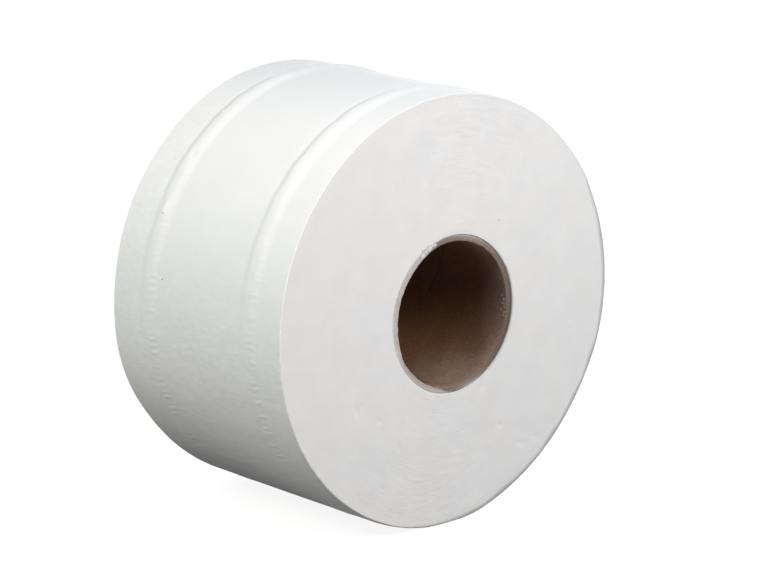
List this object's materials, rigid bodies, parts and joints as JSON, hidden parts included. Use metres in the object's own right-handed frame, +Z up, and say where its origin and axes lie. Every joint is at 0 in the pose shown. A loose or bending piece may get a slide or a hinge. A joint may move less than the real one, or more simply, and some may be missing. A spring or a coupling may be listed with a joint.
{
  "type": "toilet paper roll",
  "caption": "Wide white tissue roll wound on an open cardboard core, with raised embossed bands round it, lying on a small flat spot.",
  "frame": {"origin": "on the floor, under the middle of the roll, halfway between its end faces", "axes": "+Y along the roll's axis, away from the end face that the picture shows, +X to the right seen from that end, +Z up"},
  "size_m": [0.1802, 0.104, 0.1785],
  "materials": {
    "tissue": "matte",
    "core_board": "matte"
  },
  "bodies": {
    "root": {"paper_roll": "tissue", "cardboard_core": "core_board"}
  },
  "joints": []
}
